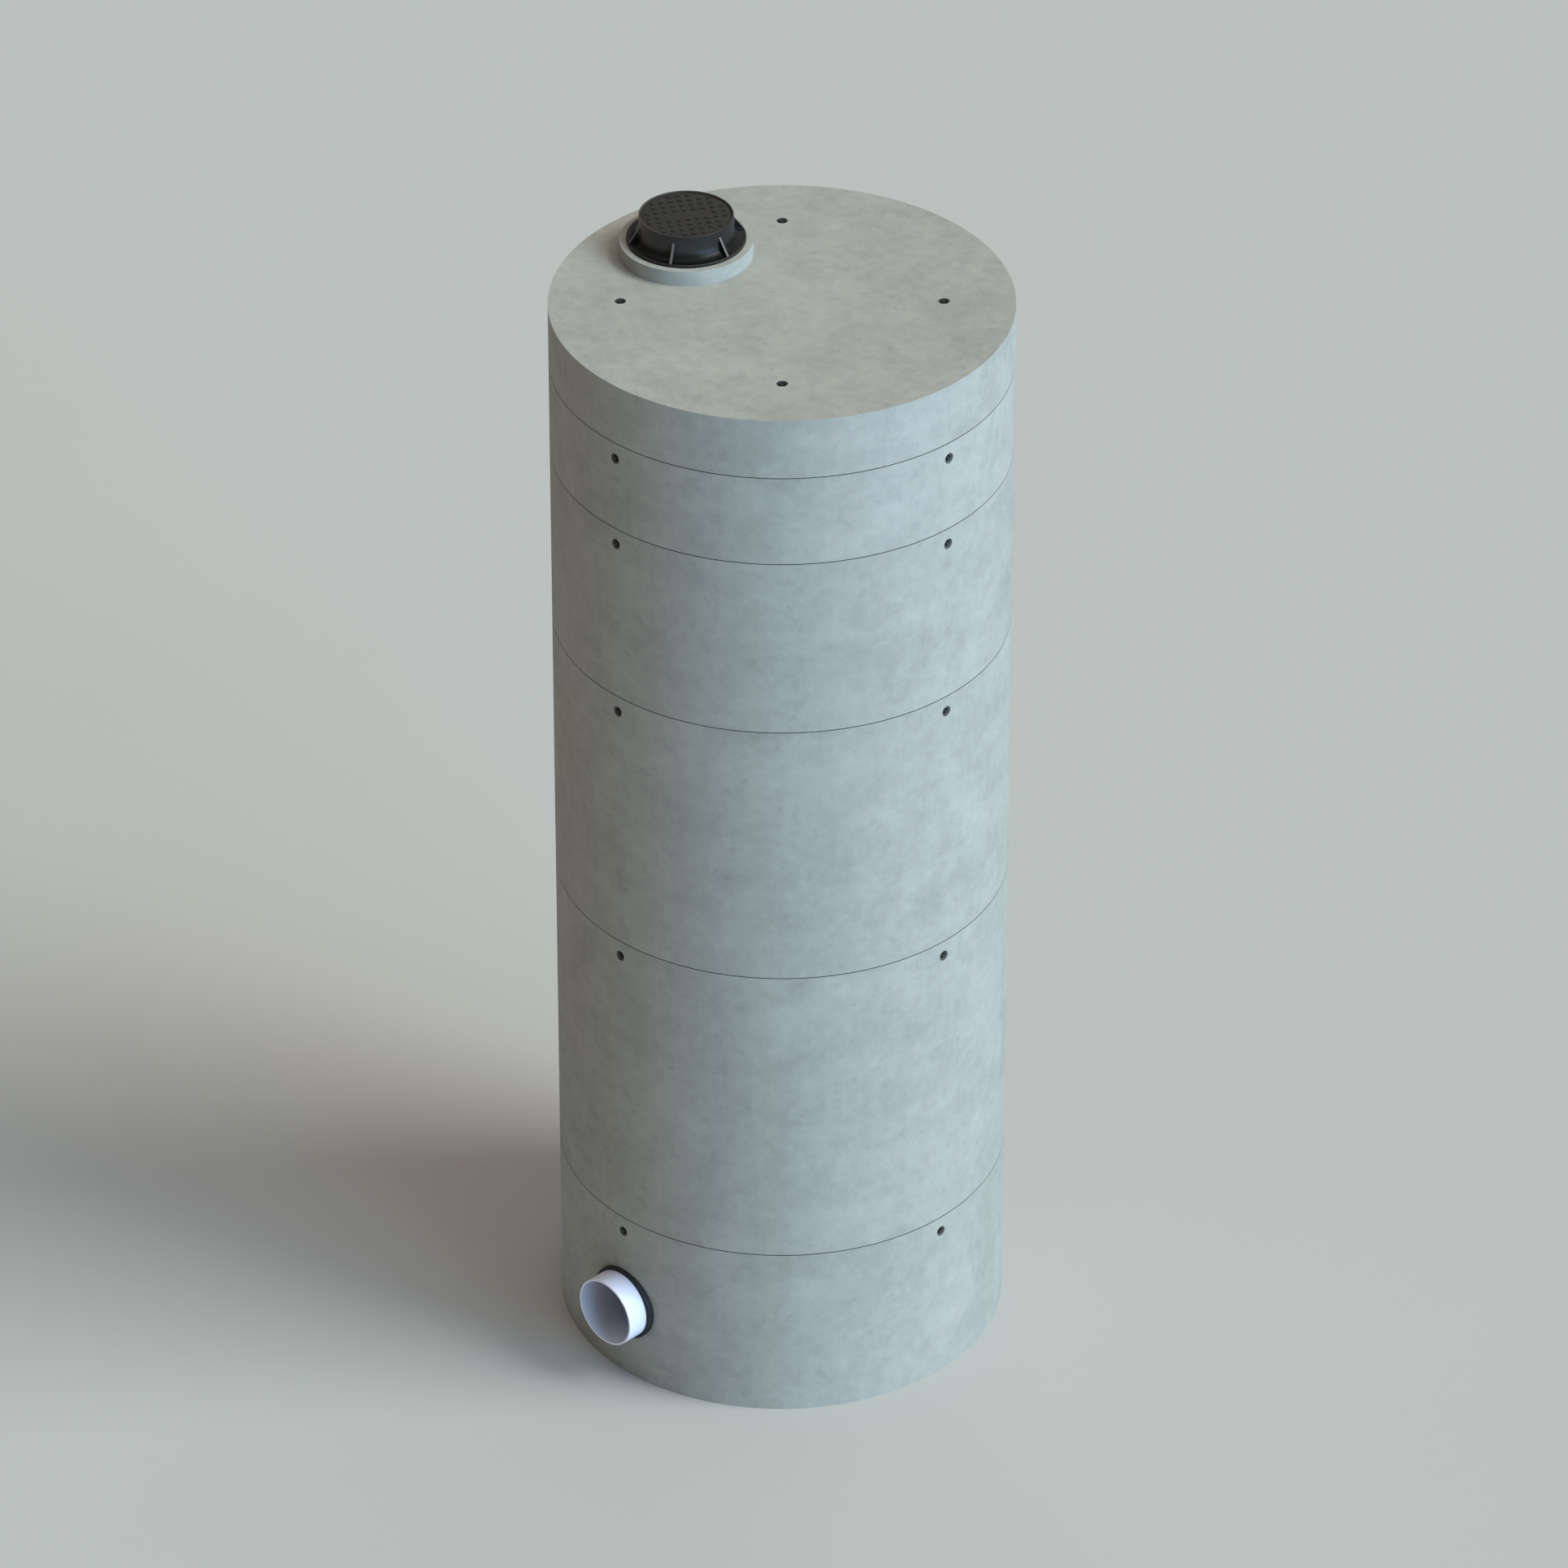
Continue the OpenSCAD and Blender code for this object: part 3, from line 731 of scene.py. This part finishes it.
# %% The tread bars
def raised(length, width, corner, levels, place, turn, steps=5):
    """A rounded oblong carried up through levels of (height, inset), with both ends closed."""
    outlines = [soften([(length / 2 - inset, width / 2 - inset, corner - inset),
                        (inset - length / 2, width / 2 - inset, corner - inset),
                        (inset - length / 2, inset - width / 2, corner - inset),
                        (length / 2 - inset, inset - width / 2, corner - inset)], steps)
                for height, inset in levels]
    flat = np.array(outlines)
    x = flat[..., 0] * math.cos(turn) - flat[..., 1] * math.sin(turn)
    y = flat[..., 0] * math.sin(turn) + flat[..., 1] * math.cos(turn)
    z = np.array([height for height, inset in levels])[:, None] + 0 * x
    points = np.stack([x, y, z], -1) + np.array(place)
    around = flat.shape[1]
    faces = quads(len(levels), around, closed_rows=False).tolist()
    faces += [list(range(around))[::-1], [(len(levels) - 1) * around + j for j in range(around)]]
    return points, faces


PITCH, BAR_L, BAR_W = 0.060, 0.030, 0.016
ROW_TURN, PANEL_L = math.radians(57.8), 0.290
BAR_CORNER, CLEAR_EDGE = 0.0055, 0.004
bar_levels = [(-0.001, -0.0006), (0.0004, -0.0003), (0.0036, 0.0003), (0.0046, 0.0008),
              (BAR_H, 0.0017)]
steps_out = range(-5, 6)
bars = []
for i in steps_out:
    for j in steps_out:
        x, y = i * PITCH, j * PITCH
        corner = math.hypot(abs(x) + BAR_L / 2, abs(y) + BAR_W / 2)
        if corner < COVER_R - CLEAR_EDGE and not (j == 0 and abs(x) < PANEL_L / 2):
            spot = way_in + (x * math.cos(ROW_TURN) - y * math.sin(ROW_TURN),
                             x * math.sin(ROW_TURN) + y * math.cos(ROW_TURN), FACE_Z)
            bars.append(raised(BAR_L, BAR_W, BAR_CORNER, bar_levels, spot, ROW_TURN))
print(len(bars), "tread bars of", len(bars[0][1]), "faces each")

# %% [markdown]
# Underneath, ribs run out from a boss and stiffen the plate, so the cover can be thin. They are
# raised like the tread bars, but downwards, and start inside the boss and end inside the edge
# ring, so that nothing shows where they meet.

# %% Ribs, boss and the finished cover
RIB_L, RIB_T, RIB_H, BOSS_R, RIB_START = SEAT_R - 0.008, 0.014, 0.034, 0.040, 0.02
RIBS, RIB_CORNER = 8, 0.004
rib_levels = [(-RIB_H, 0.003), (-RIB_H + 0.001, 0.001), (-RIB_H + 0.003, 0.0), (0.002, -0.001)]
rib_middle = (RIB_L + RIB_START) / 2
ribs = [raised(RIB_L - RIB_START, RIB_T, RIB_CORNER, rib_levels,
               way_in + (rib_middle * math.cos(a), rib_middle * math.sin(a), PLATE_Z), a)
        for a in np.arange(RIBS) * math.pi / 4]
boss_low, boss_high = PLATE_Z - RIB_H, PLATE_Z + 0.002
boss = turned(np.array([(0, boss_low), (BOSS_R - 0.003, boss_low), (BOSS_R - 0.001, boss_low + 0.001),
                        (BOSS_R, boss_low + 0.003), (BOSS_R, boss_high), (0, boss_high)]),
              way_in, around=64)
# Painted shade: only the face and the bars' tops get this grey, so the bars' sides stay dark.
FACE_WEAR = 0.13


def cover_wear_and_shade(points):
    """Shoes and tyres keep the face and the tops of the bars grey, and the bars' sides stay black,
    which paints shade on them."""
    z = points[:, 2] - way_in[2] - FACE_Z
    return FACE_WEAR * ((z > BAR_H - 0.0008) | (np.abs(z) < 1e-5))


piece("cover_casting", [turned(plate, way_in), boss] + ribs + bars, cover_iron,
      ["cover"], cover_wear_and_shade)

# %% [markdown]
# ## Pipe and boot
#
# The pipe is a plain length with its sharp edges taken off. The boot is squeezed between it and
# the hole in the wall, and stands a finger's width proud, with a rounded lip. Both are turned
# about the pipe's axis, so the same two helpers make them.

# %% The pipe and the boot, turned about the pipe's axis
pipe_start = np.array([0, 0, PIPE_Z])
pipe_section = soften([(PIPE_BORE, -pipe_high[1], 0.0015), (PIPE_R, -pipe_high[1], 0.0015),
                       (PIPE_R, -pipe_low[1], 0.003), (PIPE_BORE, -pipe_low[1], 0.0015)], 6)
piece("pipe_length", [turned(pipe_section, pipe_start, (0, -1, 0))], white_plastic,
      ["outlet_pipe"])
low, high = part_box("pipe_boot")
BOOT_R, BOOT_BORE = (high[0] - low[0]) / 2, PIPE_R + 0.0001
boot_section = soften([(BOOT_BORE, -high[1], 0.002), (BOOT_R, -high[1], 0.002),
                       (BOOT_R, -low[1], 0.014), (BOOT_BORE, -low[1], 0.003)], 10)
piece("boot_moulding", [turned(boot_section, pipe_start, (0, -1, 0))], black_rubber,
      ["pipe_boot"])

# %% [markdown]
# ## Lifting anchors
#
# Each anchor is a forged pin with a button head, which the lifting clutch grips, and a wide
# foot that holds it in the concrete. Only the head shows, in the bottom of its recess. The whole
# pin is one turned section, drawn from the head inwards along the recess's axis. The pins of a
# section make one piece, because they are cast in together and never leave it.

# %% The anchors, four to a section
HEAD_R, SHANK_R, FOOT_R, AROUND = 0.012, 0.007, 0.018, 40
HEAD_TOP, HEAD_T, FOOT_T, ANCHOR_L = 0.007, 0.009, 0.012, 0.140
anchor_section = soften([
    (0, -HEAD_TOP, 0.001), (HEAD_R, -HEAD_TOP, 0.0028), (HEAD_R, -HEAD_TOP - HEAD_T, 0.001),
    (SHANK_R, -HEAD_TOP - HEAD_T - HEAD_R + SHANK_R, 0.004),
    (SHANK_R, -HEAD_TOP - ANCHOR_L + FOOT_T + FOOT_R - SHANK_R, 0.006),
    (FOOT_R, -HEAD_TOP - ANCHOR_L + FOOT_T, 0.002), (FOOT_R, -HEAD_TOP - ANCHOR_L, 0.002),
    (0, -HEAD_TOP - ANCHOR_L, 0.001)], 5)[5:-5]
anchor_section = np.concatenate([[(0, -HEAD_TOP)], anchor_section, [(0, -HEAD_TOP - ANCHOR_L)]])
for section in sections[:5]:
    wall_r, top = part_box(section)[1][0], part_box(section)[1][2] - TONGUE_H - RECESS_DROP
    pins = [turned(anchor_section, (wall_r * x, wall_r * y, top), (x, y, 0), AROUND)
            for x, y in ((1, 0), (0, 1), (-1, 0), (0, -1))]
    piece(section + "_anchor_pins", pins, raw_steel, [section + "_anchors"])
slab_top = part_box("top_slab")[1][2]
pins = [turned(anchor_section, (slab_recess * x, slab_recess * y, slab_top), (0, 0, 1), AROUND)
        for x, y in ((1, 1), (-1, 1), (-1, -1), (1, -1))]
piece("slab_anchor_pins", pins, raw_steel, ["slab_anchors"])

# %% [markdown]
# ## Floor, light and camera
#
# The floor is a wide pale sheet, far larger than the view, so no horizon shows. It is slightly
# warm and almost even, and its light on the wall matters more than its looks. A curved studio
# backdrop would hide the horizon as well, but it would shade the back.

# %% The floor
FLOOR_GREY, HALF = (0.51, 0.49, 0.465, 1), 90.0
corners = [(-HALF, -HALF, 0.0), (HALF, -HALF, 0.0), (HALF, HALF, 0.0), (-HALF, HALF, 0.0)]


def floor_finish():
    """Pale matt grey that drifts by about a hundredth."""
    f = Finish("pale_floor", Roughness=0.9)
    return f.use(Base_Color=f.shade(FLOOR_GREY, 0.985 + 0.03 * f.cloud(3.0, None, 3.0)))


ground = bpy.data.meshes.new("floor")
ground.from_pydata(corners, [], [(0, 1, 2, 3)])
ground.materials.append(floor_finish())
floor = bpy.data.objects.new("floor", ground)
bpy.context.scene.collection.objects.link(floor)
print("floor", 2 * HALF, "m wide")

# %% [markdown]
# A cool soft lamp low on the right draws the rings' roundness, and a nearly neutral one higher
# up lights the slab. A weak one overhead opens the frame's shadow, and a weak one at the back
# draws the edges of the black iron, which shows little but reflections. All four are sun lamps:
# they have a direction and a softness but no place, so the stack is lit alike from foot to top.

# %% The lights
def sun(name, azimuth, elevation, strength, colour, spread):
    """A lamp that shines from azimuth and elevation, in degrees, as soft as its spread."""
    lamp = bpy.data.lights.new(name, "SUN")
    lamp.energy, lamp.color, lamp.angle = strength, colour, math.radians(spread)
    made = bpy.data.objects.new(name, lamp)
    a, e = math.radians(azimuth), math.radians(elevation)
    towards = Vector((math.sin(a) * math.cos(e), -math.cos(a) * math.cos(e), math.sin(e)))
    made.rotation_euler = towards.to_track_quat("Z", "Y").to_euler()
    bpy.context.scene.collection.objects.link(made)


# Name, azimuth, elevation, strength, colour, spread
LAMPS = [("low_window", 95, 5, 4.72, (0.407, 0.695, 1.0), 50),
         ("high_window", 120, 45, 2.32, (0.90, 1.0, 0.965), 28),
         ("ceiling", 75, 90, 0.46, (1.0, 1.0, 1.0), 60),
         ("back_window", 208, 30, 0.30, (1.0, 1.0, 1.0), 60)]
for row in LAMPS:
    sun(*row)
print(len(LAMPS), "far lamps")

# %% [markdown]
# The manhole shades the floor on its left, and no light would come back from there to the foot
# of the wall. A soft lamp laid on the floor, face up and hidden from the camera, stands in for
# that light. The room itself gives a weak warm light from everywhere, so no shadow is black.

# %% The lamp on the floor, and the room
CARD_W, CARD_D, CARD_TURN, CARD_GAP = 3.0, 2.3, math.radians(-48), 1.47
CARD_POWER, CARD_COLOUR = 4.6, (0.58, 0.81, 1.0)
ROOM_COLOUR, ROOM_STRENGTH = (1.0, 0.94, 0.80, 1), 0.204
card_away = CARD_GAP + CARD_D / 2
card = bpy.data.lights.new("floor_card", "AREA")
card.shape, card.size, card.size_y = "RECTANGLE", CARD_W, CARD_D
card.energy, card.color = CARD_POWER, CARD_COLOUR
laid = bpy.data.objects.new("floor_card", card)
laid.location = (card_away * math.sin(CARD_TURN), -card_away * math.cos(CARD_TURN), 0.01)
laid.rotation_euler = (math.pi, 0.0, CARD_TURN)
laid.visible_camera = False
bpy.context.scene.collection.objects.link(laid)
room = bpy.data.worlds.new("room")
room.use_nodes = True
background = room.node_tree.nodes["Background"].inputs
background["Color"].default_value = ROOM_COLOUR
background["Strength"].default_value = ROOM_STRENGTH
bpy.context.scene.world = room
bpy.context.scene.view_settings.view_transform = "Standard"
print("lamp on the floor", CARD_W, "by", CARD_D, "m, room at strength", ROOM_STRENGTH)

# %% [markdown]
# The camera stands far off and high, on the diagonal between +X and -Y, with a long lens. From
# there the walls' edges almost run parallel, the slab's top shows as an oval, and both rows of
# recesses and the pipe are in view. From nearer, the base would look narrower than the slab.

# %% The camera
CAMERA_OUT, CAMERA_UP, DIP, TURN = 37.431, 38.246, 32.994, 45 - 0.0138
SENSOR, FOCUS, NEAR, FAR_OFF = 36.0, 227.33, 1.0, 400.0
lens = bpy.data.cameras.new("camera")
lens.sensor_width, lens.lens = SENSOR, FOCUS
lens.clip_start, lens.clip_end = NEAR, FAR_OFF
camera = bpy.data.objects.new("camera", lens)
camera.location = (CAMERA_OUT, -CAMERA_OUT, CAMERA_UP)
camera.rotation_euler = (math.radians(90 - DIP), 0.0, math.radians(TURN))
bpy.context.scene.collection.objects.link(camera)
bpy.context.scene.camera = camera
print("camera at", tuple(camera.location), "with a lens of", FOCUS, "mm")
